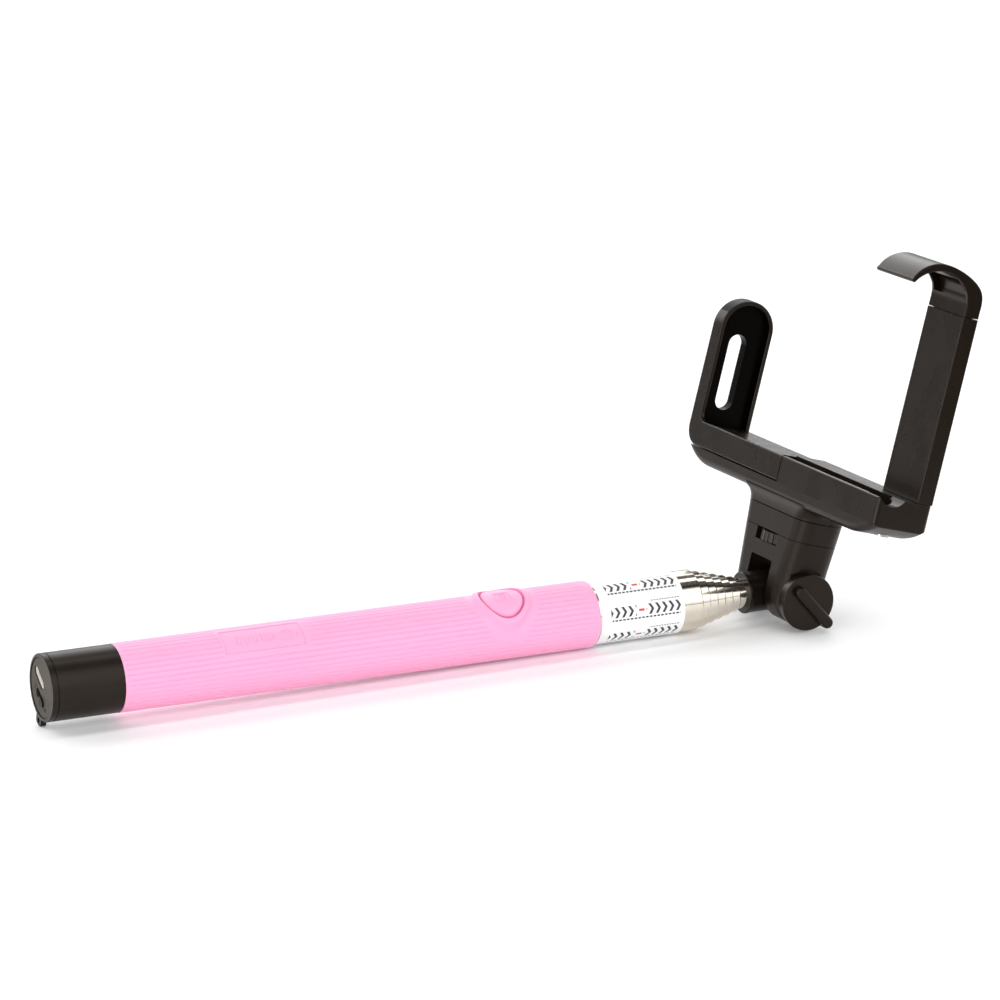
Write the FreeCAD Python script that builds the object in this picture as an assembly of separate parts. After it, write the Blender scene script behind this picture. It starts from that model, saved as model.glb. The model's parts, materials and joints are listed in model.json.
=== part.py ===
"""Telescopic hand-held phone stick: handle with shutter button, seven-section pole, tilting head, phone clamp.

Frame: +X runs along the pole from the end cap to the head, +Z is up, and the origin is on the pole's
axis in the middle of the grip.  The head and the clamp are drawn upright about the tilt pivot, as
(w, y, u): w points away from the handle, u is up along the head's axis, and y is the row's Y.
place_head() then leans them back by HEAD_TILT and puts them on the pivot.  Lengths are in mm.
"""
import FreeCAD, Part
import math
import os

V = FreeCAD.Vector

# ---- handle -------------------------------------------------------------------------------------
GRIP_R = 10.28
GRIP_LENGTH = 154.0
GRIP_X0 = -GRIP_LENGTH / 2
GRIP_X1 = GRIP_LENGTH / 2
GRIP_FRONT_ROUND = 0.6
CAP_R = 10.14
CAP_LENGTH = 22.4
CAP_X0 = GRIP_X0 - CAP_LENGTH
CAP_BORE_R = 9.15
CAP_RIM = 1.7                     # ring between the end face and the cap's groove
CAP_GROOVE = 0.3
LUG_OUTER_R = 12.6
LUG_HALF_WIDTH = 2.0
LUG_TURN = 17.0                   # turn of the lug from straight down, degrees
EYE_R = 0.85
EYE_OFFSET = 11.05                # lanyard eye's distance from the pole's axis
PLATE_THICKNESS = 1.8
FACE_ROLL = 37.0                  # turn of the end plate and the board about the pole's axis, degrees
SWITCH_SLOT = (6.8, 3.0)          # length and width
SWITCH_CENTRE = (-0.6, -3.9)      # across and up on the end plate, before the roll
SWITCH_THUMB = (3.4, 2.5)
SWITCH_TRAVEL = 3.0
SWITCH_MARK = (4.5, 0.65)         # on and off marks: distance from the slot's centre, half height
MARK_RELIEF = 0.12
LED_CENTRE = (-2.7, 1.9)
LED_R = 0.6
USB_CENTRE = (3.1, 0.95)
USB_SIZE = (7.6, 2.5)
USB_DEPTH = 5.4
CORE_R = 9.5
CORE_BORE_R = 8.1
CORE_SPIGOT_LENGTH = 12.0
BOARD = (45.0, 15.0, 1.0)
CELL = (30.0, 12.0, 4.8)

# ---- shutter button -----------------------------------------------------------------------------
BUTTON_X = 46.6
BUTTON_TURN = 20.0                # turn of the button from the top of the grip, degrees
BUTTON_R = 6.45
BUTTON_TOP_R = 11.15
BUTTON_FLANGE_R = 7.1
BUTTON_WINDOW_R = 6.7
BUTTON_RING_R = 7.9
BUTTON_RING_TOP_R = 11.0
BUTTON_FLANGE_LOW = 9.95
BUTTON_FLANGE_HIGH = 10.15
BUTTON_POCKET = (3.0, 10.45)      # radius and height of the hollow over the dome switch
DOME_R = 2.6
DOME_THICKNESS = 0.18
DOME_NUB = (1.0, 10.15)
STRIP_WIDTH = 6.0
STRIP_THICKNESS = 0.12

# ---- plaque -------------------------------------------------------------------------------------
PLAQUE_X0 = -45.0
PLAQUE_X1 = -19.5
PLAQUE_TURN = 35.0
PLAQUE_WIDTH = 9.0
PLAQUE_DEPTH = 0.3

# ---- pole ---------------------------------------------------------------------------------------
STAGES = 7
TUBE_R = 9.5
TUBE_STEP = 0.78                  # fall in outer radius from one section to the next
TUBE_WALL = 0.35
TUBE_1_REAR = -40.0
TUBE_1_FRONT = 112.3
FRONT_STEP = 3.0                  # how far each section's mouth stands ahead of the one around it
LIP_LENGTH = 1.5
LIP_ROUND = 0.42                  # outer rounding of a rolled mouth
LIP_CHAMFER = 0.26                # inner bevel of a rolled mouth
BUSH_LENGTH = 8.0
RUN_GAP = 0.05                    # radial gap of a sliding fit
STAGE_TRAVEL = 128.0
END_GAP = 0.4
LABEL_X0 = 77.5
LABEL_X1 = 105.8
LABEL_THICKNESS = 0.1

# ---- pivot and head -----------------------------------------------------------------------------
PIVOT_X = 143.0
HEAD_TILT = 15.2
FLANGE_R = 6.5
FLANGE_THICKNESS = 1.2
TONGUE_HALF_WIDTH = 5.6
TONGUE_HALF_HEIGHT = 6.0
SLOT_HALF_WIDTH = 6.5
SLOT_TOP = 8.94
HEAD_HALF_DEPTH = 8.2             # along w
HEAD_HALF_WIDTH = 16.0            # along y, at the pivot's height
HEAD_FLARE = 0.137                # growth of the half width per mm of height
HEAD_CORNER = 6.0
HEAD_SEAM = 17.5
HEAD_TOP = 24.15
WHEEL_R = 8.8
WHEEL_LOW = 13.95
WHEEL_HIGH = 17.0
POCKET_R = 9.05
POCKET_LOW = 13.7
WINDOW_HALF_WIDTH = 6.6
BOLT_R = 2.45
BORE_R = 2.5
BOLT_HEAD_FLATS = 8.0
BOLT_HEAD_LENGTH = 3.4
SCREW_R = 3.175                   # quarter-inch camera screw
KNOB_SEAT_Y = -15.6
KNOB_SEAT_R = 9.3
KNOB_BASE_Y = -15.95
KNOB_FACE_Y = -20.1
KNOB_BASE_R = 8.3
KNOB_FACE_R = 8.9
WING_TOP_Y = -22.3
WING_WIDTH = 3.6
WING_REACH = 10.7
WING_ANGLE = -34.0

# ---- phone clamp --------------------------------------------------------------------------------
BEAM_HALF_DEPTH = 9.5
BEAM_END_Y = -60.1                # the hook's end
BRACKET_END_Y = 61.2              # the slotted arm's end
FLANGE_LOW = 24.45
HULL_LOW = 27.9
HULL_TOP = 32.7
BRACKET_LOW = 33.0
RIM_TOP = 41.0
RIM_WALL = 1.4
GROOVE_FLOOR = 35.5
LEDGE_FRONT = -1.0
BRACKET_FLOOR = 40.0
BLOCK_STEP_Y = 5.8
BLOCK_CORNER_R = 1.5
SEAM_HALF = 0.22                  # half the gap between the tray's two halves
TOP_ROUND = 0.4                   # rounding along the tray's top front edge
SCOOP = (-4.6, 43.6, 5.0)         # w, u and radius of the dip in the groove's end wall
BRACKET_STEP_Y = 11.1
SLIDE_HALF_GAP = 0.3
SLIDE_BAR = (1.5, 7.5, 34.2, 36.6)    # w and u limits of the bracket's slide bar
ARM_PLATE_Y = 57.7
ARM_RIM_Y = 55.2
ARM_RIM_WIDTH = 1.4
FOOT_FILLET = 3.0
ARM_ARC_U = 71.8
ARM_SLOT = (-0.9, 6.4, 45.2, 69.9)    # centre in w, width, bottom and top in u
HOOK_ARM_FACE = 4.1
HOOK_ARM_SIDE_Y = -38.9
HOOK_SEAM = 98.4
HOOK_GAP = 0.25
ARM_WALL = 1.2
STEM_LOW = 62.0
HOOK_HOLLOW = (1.0, 104.2, 4.9)       # w, u and radius of the hollow under the crown
HOOK_FACE_TOP = 103.4
HOOK_END_WALL = 1.2


# ---- solids -------------------------------------------------------------------------------------
def box(x0, x1, y0, y1, z0, z1):
    return Part.makeBox(x1 - x0, y1 - y0, z1 - z0, V(x0, y0, z0))


def cyl_x(radius, x0, x1, y=0.0, z=0.0):
    return Part.makeCylinder(radius, x1 - x0, V(x0, y, z), V(1, 0, 0))


def cyl_y(radius, y0, y1, x=0.0, z=0.0):
    return Part.makeCylinder(radius, y1 - y0, V(x, y0, z), V(0, 1, 0))


def cyl_z(radius, z0, z1, x=0.0, y=0.0):
    return Part.makeCylinder(radius, z1 - z0, V(x, y, z0), V(0, 0, 1))


def ring_x(outer, inner, x0, x1):
    return cyl_x(outer, x0, x1).cut(cyl_x(inner, x0 - 1, x1 + 1))


def cone_y(r0, r1, y0, y1):
    return Part.makeCone(r0, r1, abs(y1 - y0), V(0, y0, 0), V(0, math.copysign(1, y1 - y0), 0))


def join(*shapes):
    whole = shapes[0]
    for shape in shapes[1:]:
        whole = whole.fuse(shape)
    return whole.removeSplitter()


def prism(points, direction):
    """Straight-sided solid: a closed outline of points, extruded along direction."""
    return Part.Face(Part.makePolygon(points + [points[0]])).extrude(direction)


def hexagon(flats, y0, y1):
    radius = flats / math.sqrt(3)
    corners = [math.radians(60 * i) for i in range(6)]
    points = [V(radius * math.cos(a), y0, radius * math.sin(a)) for a in corners]
    return prism(points, V(0, y1 - y0, 0))


def rounded_rect(half_x, half_y, radius, z):
    """Closed wire with four round corners, in the plane of height z."""
    ix = half_x - radius
    iy = half_y - radius
    k = radius * math.sqrt(0.5)
    edges = []
    for sx, sy, first in ((1, 1, 0), (-1, 1, 1), (-1, -1, 0), (1, -1, 1)):
        ends = [V(sx * half_x, sy * iy, z), V(sx * ix, sy * half_y, z)]
        if first:
            ends.reverse()
        middle = V(sx * (ix + k), sy * (iy + k), z)
        edges.append(Part.Arc(ends[0], middle, ends[1]).toShape())
    ends = [(e.Vertexes[0].Point, e.Vertexes[-1].Point) for e in edges]
    lines = [Part.makeLine(ends[i][1], ends[(i + 1) % 4][0]) for i in range(4)]
    ordered = [piece for pair in zip(edges, lines) for piece in pair]
    return Part.Wire(ordered)


def rounded_loft(low, high):
    return Part.makeLoft([rounded_rect(*low), rounded_rect(*high)], True, True)


def edges_where(shape, test):
    return [edge for edge in shape.Edges if test(edge)]


def fillet(shape, radius, test):
    """Round the edges that pass the test."""
    return shape.makeFillet(radius, edges_where(shape, test))


def near(a, b, tolerance=0.02):
    return abs(a - b) < tolerance


def level_edge(x=None, y=None, z=None):
    """Test for edges that lie wholly in the given coordinate planes."""
    def test(edge):
        bounds = edge.BoundBox
        for value, low, high in ((x, bounds.XMin, bounds.XMax), (y, bounds.YMin, bounds.YMax),
                                 (z, bounds.ZMin, bounds.ZMax)):
            if value is not None and not (near(low, value) and near(high, value)):
                return False
        return True
    return test


def turn_x(shape, degrees):
    turned = shape.copy()
    turned.rotate(V(0, 0, 0), V(1, 0, 0), degrees)
    return turned


def place_head(shape):
    """Lean a head or clamp solid back and move it onto the tilt pivot."""
    placed = shape.copy()
    placed.rotate(V(0, 0, 0), V(0, 1, 0), HEAD_TILT)
    placed.translate(V(PIVOT_X, 0, 0))
    return placed


# ---- handle -------------------------------------------------------------------------------------
def end_cap():
    body = cyl_x(CAP_R, CAP_X0, GRIP_X0)
    body = fillet(body, 0.35, level_edge(x=CAP_X0))
    lug = box(CAP_X0, CAP_X0 + CAP_RIM, -LUG_HALF_WIDTH, LUG_HALF_WIDTH, -LUG_OUTER_R, -CAP_BORE_R)
    lug = fillet(lug, LUG_HALF_WIDTH - 0.6, lambda e: near(e.BoundBox.ZMin, -LUG_OUTER_R)
                 and near(e.BoundBox.ZMax, -LUG_OUTER_R) and e.BoundBox.XLength > 1)
    lug = turn_x(lug.cut(cyl_x(EYE_R, CAP_X0 - 1, GRIP_X0, 0, -EYE_OFFSET)), LUG_TURN)
    groove_x = CAP_X0 + CAP_RIM
    groove = ring_x(CAP_R + 1, CAP_R - 0.25, groove_x, groove_x + CAP_GROOVE)
    body = join(body.cut(groove), lug)
    return body.cut(cyl_x(CAP_BORE_R, CAP_X0 - 1, GRIP_X0 + 1))


def stadium_x(length, width, x0, x1, centre):
    """Slot-shaped bar along X, its long side across."""
    reach = (length - width) / 2
    y, z = centre
    bar = box(x0, x1, y - reach, y + reach, z - width / 2, z + width / 2)
    return join(bar, cyl_x(width / 2, x0, x1, y - reach, z), cyl_x(width / 2, x0, x1, y + reach, z))


PLATE_X0 = CAP_X0 + 0.2
PLATE_X1 = PLATE_X0 + PLATE_THICKNESS


def end_plate():
    plate = cyl_x(CAP_BORE_R - 0.05, PLATE_X0, PLATE_X1)
    plate = fillet(plate, 0.25, level_edge(x=PLATE_X0))
    slot = stadium_x(*SWITCH_SLOT, PLATE_X0 - 1, PLATE_X1 + 1, SWITCH_CENTRE)
    lens = cyl_x(LED_R, PLATE_X0 - 1, PLATE_X1 + 1, *LED_CENTRE)
    port = stadium_x(USB_SIZE[0] + 0.5, USB_SIZE[1] + 0.5, PLATE_X0 - 1, PLATE_X1 + 1, USB_CENTRE)
    y, z = SWITCH_CENTRE
    reach, high = SWITCH_MARK
    x0, x1 = PLATE_X0 - MARK_RELIEF, PLATE_X0 + 0.1
    bar = box(x0, x1, y + reach - 0.15, y + reach + 0.15, z - high, z + high)
    ring = cyl_x(high, x0, x1, y - reach, z).cut(cyl_x(high - 0.3, x0 - 1, x1 + 1, y - reach, z))
    return turn_x(join(plate.cut(slot).cut(lens).cut(port), bar, ring), FACE_ROLL)


def power_switch():
    """Thumb tab that slides across the end plate's slot, drawn at its off end."""
    y = SWITCH_CENTRE[0] - SWITCH_TRAVEL / 2
    z = SWITCH_CENTRE[1]
    tab = stadium_x(*SWITCH_THUMB, PLATE_X0 - 0.5, PLATE_X1 + 0.3, (y, z))
    for k in (-0.9, -0.3, 0.3, 0.9):
        tab = tab.cut(box(PLATE_X0 - 1, PLATE_X0 - 0.2, y + k - 0.14, y + k + 0.14, z - 2, z + 2))
    foot = box(PLATE_X1 + 0.25, PLATE_X1 + 1.2, y - 3.0, y + 3.0, z - 1.9, z + 1.9)
    return turn_x(join(tab, foot), FACE_ROLL)


BOARD_X0 = PLATE_X1 + 0.3
BOARD_TOP = USB_CENTRE[1] - USB_SIZE[1] / 2


def switch_body():
    x0 = PLATE_X1 + 1.5
    y, z = SWITCH_CENTRE
    body = box(x0, x0 + 3.4, y - 4.4, y + 4.4, z - 1.7, BOARD_TOP - BOARD[2])
    return turn_x(fillet(body, 0.2, lambda e: e.BoundBox.XLength > 3), FACE_ROLL)


def led_lens():
    lens = cyl_x(LED_R - 0.03, PLATE_X0 - 0.05, PLATE_X1, *LED_CENTRE)
    return turn_x(fillet(lens, 0.2, level_edge(x=PLATE_X0 - 0.05)), FACE_ROLL)


def usb_socket():
    x0 = PLATE_X0 + 0.3
    shell = stadium_x(*USB_SIZE, x0, x0 + USB_DEPTH, USB_CENTRE)
    hollow = stadium_x(USB_SIZE[0] - 0.6, USB_SIZE[1] - 0.6, x0 - 1, x0 + USB_DEPTH - 0.5, USB_CENTRE)
    y, z = USB_CENTRE
    tongue = box(x0 + 0.8, x0 + USB_DEPTH, y - 2.4, y + 2.4, z + 0.05, z + 0.6)
    return turn_x(join(shell.cut(hollow), tongue), FACE_ROLL)


def control_board():
    length, width, thickness = BOARD
    board = box(BOARD_X0, BOARD_X0 + length, -width / 2, width / 2, BOARD_TOP - thickness, BOARD_TOP)
    chip = box(BOARD_X0 + 12, BOARD_X0 + 17, -2.5, 2.5, BOARD_TOP - thickness - 0.9, BOARD_TOP - thickness)
    antenna = box(BOARD_X0 + 38, BOARD_X0 + 44, -5, 5, BOARD_TOP, BOARD_TOP + 0.4)
    return turn_x(join(board, chip, antenna), FACE_ROLL)


def battery_cell():
    length, width, thickness = CELL
    x0 = BOARD_X0 + 7
    cell = box(x0, x0 + length, -width / 2, width / 2, BOARD_TOP + 0.1, BOARD_TOP + 0.1 + thickness)
    return turn_x(fillet(cell, 1.2, lambda e: e.BoundBox.XLength > 20), FACE_ROLL)


def handle_core():
    rear = cyl_x(CAP_BORE_R - 0.05, PLATE_X1, GRIP_X0 + 0.5)
    middle = cyl_x(CORE_R, GRIP_X0, TUBE_1_REAR)
    spigot = cyl_x(TUBE_R - TUBE_WALL - 0.05, TUBE_1_REAR - 1, TUBE_1_REAR + CORE_SPIGOT_LENGTH)
    return join(rear, middle, spigot).cut(cyl_x(CORE_BORE_R, PLATE_X1 - 1, TUBE_1_REAR + 20))


def strip_channel(extra):
    """Lane along the top of the tube and the core for the button's flat cable."""
    outer = CORE_R + STRIP_THICKNESS + extra
    half = STRIP_WIDTH / 2 + extra
    lane = ring_x(outer, CORE_R, TUBE_1_REAR - 24 - extra, BUTTON_X + DOME_R + 0.4 + extra)
    lane = lane.common(box(-200, 200, -half, half, 0, 20))
    return turn_x(lane, BUTTON_TURN)


def flex_cable():
    return strip_channel(0.0)


def dome_switch():
    low = CORE_R + STRIP_THICKNESS
    disc = cyl_z(DOME_R, 0, 20, BUTTON_X)
    disc = disc.common(ring_x(low + DOME_THICKNESS, low, BUTTON_X - 9, BUTTON_X + 9))
    nub = cyl_z(DOME_NUB[0], low + DOME_THICKNESS / 2, DOME_NUB[1], BUTTON_X)
    return turn_x(join(disc, nub), BUTTON_TURN)


def shutter_button():
    """Round cap that follows the grip's curve, with a thin flange that keeps it in the sleeve."""
    cap = cyl_z(BUTTON_R, BUTTON_FLANGE_LOW - 3, BUTTON_TOP_R + 1, BUTTON_X)
    cap = cap.common(ring_x(BUTTON_TOP_R, BUTTON_FLANGE_LOW, BUTTON_X - 20, BUTTON_X + 20))
    flange = cyl_z(BUTTON_FLANGE_R, 0, BUTTON_TOP_R, BUTTON_X)
    flange = flange.common(ring_x(BUTTON_FLANGE_HIGH, BUTTON_FLANGE_LOW, BUTTON_X - 20, BUTTON_X + 20))
    button = join(cap, flange).cut(cyl_z(BUTTON_POCKET[0], 0, BUTTON_POCKET[1], BUTTON_X))
    return turn_x(button, BUTTON_TURN)


def grip_sleeve():
    sleeve = cyl_x(GRIP_R, GRIP_X0, GRIP_X1)
    sleeve = fillet(sleeve, GRIP_FRONT_ROUND, level_edge(x=GRIP_X1))
    boss = cyl_z(BUTTON_RING_R, 0, BUTTON_RING_TOP_R + 1, BUTTON_X)
    boss = boss.common(cyl_x(BUTTON_RING_TOP_R, BUTTON_X - 20, BUTTON_X + 20))
    sleeve = join(sleeve, turn_x(boss, BUTTON_TURN))
    sleeve = sleeve.cut(cyl_x(CORE_R + 0.05, GRIP_X0 - 1, GRIP_X1 + 1))
    window = cyl_z(BUTTON_WINDOW_R, 5, BUTTON_TOP_R + 2, BUTTON_X)
    pocket = cyl_z(BUTTON_FLANGE_R + 0.25, 5, BUTTON_TOP_R, BUTTON_X)
    pocket = pocket.common(cyl_x(BUTTON_FLANGE_HIGH + 0.1, BUTTON_X - 20, BUTTON_X + 20))
    sleeve = sleeve.cut(turn_x(window, BUTTON_TURN)).cut(turn_x(pocket, BUTTON_TURN))
    plaque = ring_x(GRIP_R + 1, GRIP_R - PLAQUE_DEPTH, PLAQUE_X0, PLAQUE_X1)
    plaque = plaque.common(box(-200, 200, -PLAQUE_WIDTH / 2, PLAQUE_WIDTH / 2, 0, 20))
    return sleeve.cut(turn_x(plaque, PLAQUE_TURN)).cut(strip_channel(0.1))


# ---- pole ---------------------------------------------------------------------------------------
def tube_radius(stage):
    return TUBE_R - TUBE_STEP * (stage - 1)


def tube_front(stage):
    return TUBE_1_FRONT + FRONT_STEP * (stage - 1)


def tube_rear(stage):
    if stage == 1:
        return TUBE_1_REAR
    return tube_front(stage - 1) - LIP_LENGTH - BUSH_LENGTH - STAGE_TRAVEL - END_GAP


def pole_tube(stage):
    """Thin tube whose mouth is rolled in around the next section."""
    outer = tube_radius(stage)
    inner = outer - TUBE_WALL
    rear = tube_rear(stage)
    front = tube_front(stage)
    if stage == STAGES:
        return ring_x(outer, inner, rear, front)
    tube = fillet(cyl_x(outer, rear, front), LIP_ROUND, level_edge(x=front))
    mouth = tube_radius(stage + 1) + RUN_GAP
    tube = tube.cut(cyl_x(inner, rear - 1, front - LIP_LENGTH))
    bevel = Part.makeCone(mouth, mouth + LIP_CHAMFER, LIP_CHAMFER, V(front - LIP_CHAMFER, 0, 0), V(1, 0, 0))
    return tube.cut(cyl_x(mouth, rear - 1, front + 1)).cut(bevel)


def friction_bush(stage):
    """Split ring at a section's inner end, which runs in the tube around it."""
    outer = tube_radius(stage - 1) - TUBE_WALL - RUN_GAP
    inner = tube_radius(stage)
    rear = tube_rear(stage)
    bush = ring_x(outer, inner, rear, rear + BUSH_LENGTH)
    return bush.cut(box(rear - 1, rear + BUSH_LENGTH + 1, -0.5, 0.5, 0, TUBE_R))


def label_wrap():
    return ring_x(TUBE_R + LABEL_THICKNESS, TUBE_R, LABEL_X0, LABEL_X1)


def end_fitting():
    """Plug in the last tube, with a collar and the tongue that the head turns on."""
    front = tube_front(STAGES)
    plug = cyl_x(tube_radius(STAGES) - TUBE_WALL, front - 12, front + 0.5)
    collar = cyl_x(FLANGE_R, front, front + FLANGE_THICKNESS)
    collar = fillet(collar, 0.3, lambda e: e.BoundBox.XLength < 0.01)
    neck = cyl_x(6.35, front + 0.5, PIVOT_X).common(
        box(front, PIVOT_X, -TONGUE_HALF_WIDTH, TONGUE_HALF_WIDTH, -TONGUE_HALF_HEIGHT, TONGUE_HALF_HEIGHT))
    eye = cyl_y(TONGUE_HALF_HEIGHT, -TONGUE_HALF_WIDTH, TONGUE_HALF_WIDTH, PIVOT_X)
    fitting = join(plug, collar, neck, eye)
    return fitting.cut(cyl_y(BOLT_R + RUN_GAP, -20, 20, PIVOT_X))


# ---- head, drawn upright about the pivot --------------------------------------------------------
def head_section(u, grow=0.0):
    return (HEAD_HALF_DEPTH + grow, HEAD_HALF_WIDTH + HEAD_FLARE * u + grow, HEAD_CORNER + grow, u)


def clevis_body():
    low = -HEAD_HALF_DEPTH - 1
    body = rounded_loft(head_section(low), head_section(HEAD_SEAM - 0.12))
    envelope = join(cyl_y(HEAD_HALF_DEPTH, -30, 30), box(-20, 20, -30, 30, 0, 40))
    body = body.common(envelope)
    body = body.cut(box(-20, 20, -SLOT_HALF_WIDTH, SLOT_HALF_WIDTH, -20, SLOT_TOP))
    body = body.cut(cyl_y(BORE_R, -30, 30))
    far_ear = HEAD_HALF_WIDTH - 0.4
    body = body.cut(hexagon(BOLT_HEAD_FLATS + 0.1, far_ear - BOLT_HEAD_LENGTH - 0.4, 30))
    seat = Part.makeCylinder(KNOB_SEAT_R, 20, V(0, KNOB_SEAT_Y, 0), V(0, -1, 0))
    body = body.cut(seat)
    body = body.cut(cyl_z(POCKET_R, POCKET_LOW, 40)).cut(cyl_z(4.3, POCKET_LOW - 2.2, 40))
    body = body.cut(box(-20, 20, -WINDOW_HALF_WIDTH, WINDOW_HALF_WIDTH, POCKET_LOW, 40))
    for y in HEAD_SCREW_Y:
        body = body.cut(cyl_z(HEAD_SCREW_R, HEAD_SEAM - 6, 40, 0, y))
    return place_head(body)


HEAD_SCREW_Y = (-13.2, 13.2)
HEAD_SCREW_R = 1.0


def head_collar():
    collar = rounded_loft(head_section(HEAD_SEAM + 0.12), head_section(HEAD_TOP))
    collar = collar.cut(cyl_z(SCREW_R + 0.25, 0, 40))
    for y in HEAD_SCREW_Y:
        collar = collar.cut(cyl_z(HEAD_SCREW_R + 0.1, 0, 40, 0, y)).cut(cyl_z(2.1, HEAD_TOP - 1.6, 40, 0, y))
    step = rounded_loft(head_section(HEAD_SEAM - 0.12, -0.5), head_section(HEAD_SEAM + 0.12, -0.5))
    step = step.cut(cyl_z(POCKET_R, 0, 40))
    for y in HEAD_SCREW_Y:
        step = step.cut(cyl_z(HEAD_SCREW_R + 0.1, 0, 40, 0, y))
    return place_head(join(collar, step))


def head_screws():
    screws = []
    for y in HEAD_SCREW_Y:
        shank = cyl_z(HEAD_SCREW_R, HEAD_SEAM - 5.5, HEAD_TOP - 1.6, 0, y)
        head = cyl_z(2.0, HEAD_TOP - 1.6, HEAD_TOP - 0.2, 0, y)
        drive = join(box(-1.3, 1.3, y - 0.25, y + 0.25, HEAD_TOP - 0.9, HEAD_TOP),
                     box(-0.25, 0.25, y - 1.3, y + 1.3, HEAD_TOP - 0.9, HEAD_TOP))
        screws.append(join(shank, head).cut(drive))
    return place_head(Part.makeCompound(screws))


def friction_washers():
    """Two thin discs that fill the gaps between the tongue and the ears."""
    thickness = SLOT_HALF_WIDTH - TONGUE_HALF_WIDTH - 0.1
    outer = SLOT_HALF_WIDTH
    far = cyl_y(5.4, outer - thickness, outer).cut(cyl_y(BORE_R + 0.05, -30, 30))
    near_side = cyl_y(5.4, -outer, -outer + thickness).cut(cyl_y(BORE_R + 0.05, -30, 30))
    return place_head(Part.makeCompound([far, near_side]))


def pivot_bolt():
    far_ear = HEAD_HALF_WIDTH - 0.4
    head = hexagon(BOLT_HEAD_FLATS, far_ear - BOLT_HEAD_LENGTH - 0.4, far_ear - 0.4)
    shank = cyl_y(BOLT_R, KNOB_FACE_Y + 1.0, far_ear - 1.5)
    bolt = join(head, shank)
    return place_head(bolt)


def thumb_knob():
    """Tapered disc with a wing bar across its face; the bar's nose stands out past the rim."""
    disc = cone_y(KNOB_BASE_R, KNOB_FACE_R, KNOB_BASE_Y, KNOB_FACE_Y)
    disc = fillet(disc, 0.5, lambda e: near(e.BoundBox.YMin, KNOB_FACE_Y) and near(e.BoundBox.YMax, KNOB_FACE_Y))
    half = WING_WIDTH / 2
    reach = WING_REACH - half
    back = KNOB_BASE_R - half - 1.4
    bar_low = KNOB_BASE_Y - 2.1
    bar = join(box(-back, reach, WING_TOP_Y, bar_low, -half, half),
               cyl_y(half, WING_TOP_Y, bar_low, reach), cyl_y(half, WING_TOP_Y, bar_low, -back))
    bar = fillet(bar, 0.9, lambda e: near(e.BoundBox.YMin, WING_TOP_Y) and near(e.BoundBox.YMax, WING_TOP_Y))
    bar.rotate(V(0, 0, 0), V(0, 1, 0), -WING_ANGLE)
    knob = join(disc, bar)
    knob = knob.cut(hexagon(BOLT_HEAD_FLATS + 0.02, INSERT_Y0, KNOB_BASE_Y + 1))
    return place_head(knob.cut(cyl_y(BORE_R, KNOB_FACE_Y + 0.9, 30)))


INSERT_Y0 = KNOB_BASE_Y - 3.0


def knob_insert():
    insert = hexagon(BOLT_HEAD_FLATS, INSERT_Y0, KNOB_BASE_Y - 0.05)
    return place_head(insert.cut(cyl_y(BORE_R, -30, 30)))


WHEEL_RIBS = 26


def lock_wheel():
    """Ribbed finger wheel that carries the camera screw."""
    wheel = cyl_z(WHEEL_R, WHEEL_LOW, WHEEL_HIGH)
    for i in range(WHEEL_RIBS):
        angle = 2 * math.pi * i / WHEEL_RIBS
        groove = cyl_z(0.55, WHEEL_LOW - 1, WHEEL_HIGH + 1, WHEEL_R * math.cos(angle), WHEEL_R * math.sin(angle))
        wheel = wheel.cut(groove)
    hub = cyl_z(4.0, POCKET_LOW - 1.9, WHEEL_HIGH)
    wheel = join(wheel, hub).cut(cyl_z(SCREW_R, 0, 40))
    return place_head(wheel)


SCREW_TOP = 31.0


def camera_screw():
    """Quarter-inch screw with its thread shown as fine rings above the wheel."""
    screw = cyl_z(SCREW_R, POCKET_LOW - 1.9, SCREW_TOP)
    screw = screw.makeChamfer(0.5, edges_where(screw, level_edge(z=SCREW_TOP)))
    pitch = 1.27
    u = WHEEL_HIGH + 1.0
    while u < SCREW_TOP - 1.5:
        cut = cyl_z(SCREW_R + 1, u, u + pitch * 0.45).cut(cyl_z(SCREW_R - 0.35, 0, 40))
        screw = screw.cut(cut)
        u += pitch
    return place_head(screw)


# ---- phone clamp, drawn upright about the pivot -------------------------------------------------
def hull_profile():
    """Side view of the base shell: flat underneath, its ends swept up."""
    y0, y1 = BEAM_END_Y, BRACKET_END_Y - 2.6
    lift = HULL_TOP - 0.7
    flat = 45.0
    edges = []
    left = V(0, y1, lift)
    right = V(0, y0, lift)
    edges.append(Part.makeLine(V(0, y0, HULL_TOP), V(0, y1, HULL_TOP)))
    edges.append(Part.makeLine(V(0, y1, HULL_TOP), left))
    edges.append(Part.Arc(left, V(0, y1 - 4.6, HULL_LOW + 1.6), V(0, flat, HULL_LOW)).toShape())
    edges.append(Part.makeLine(V(0, flat, HULL_LOW), V(0, -flat, HULL_LOW)))
    edges.append(Part.Arc(V(0, -flat, HULL_LOW), V(0, y0 + 6.0, HULL_LOW + 1.5), right).toShape())
    edges.append(Part.makeLine(right, V(0, y0, HULL_TOP)))
    return Part.Face(Part.Wire(edges))


NECK_SECTIONS = ((8.25, 19.4, 6.0, FLANGE_LOW), (8.3, 19.6, 6.1, 25.4), (8.45, 20.1, 6.2, 26.4),
                 (8.8, 21.1, 6.4, 27.4), (9.3, 22.8, 6.7, 28.3), (9.4, 24.6, 6.8, 29.4))
HULL_SCREWS_Y = (-51.0, -24.0)
HULL_SCREW_R = 1.25
NUT_FLATS = 11.0
NUT_LOW = 27.5
NUT_TOP = 31.8


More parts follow.
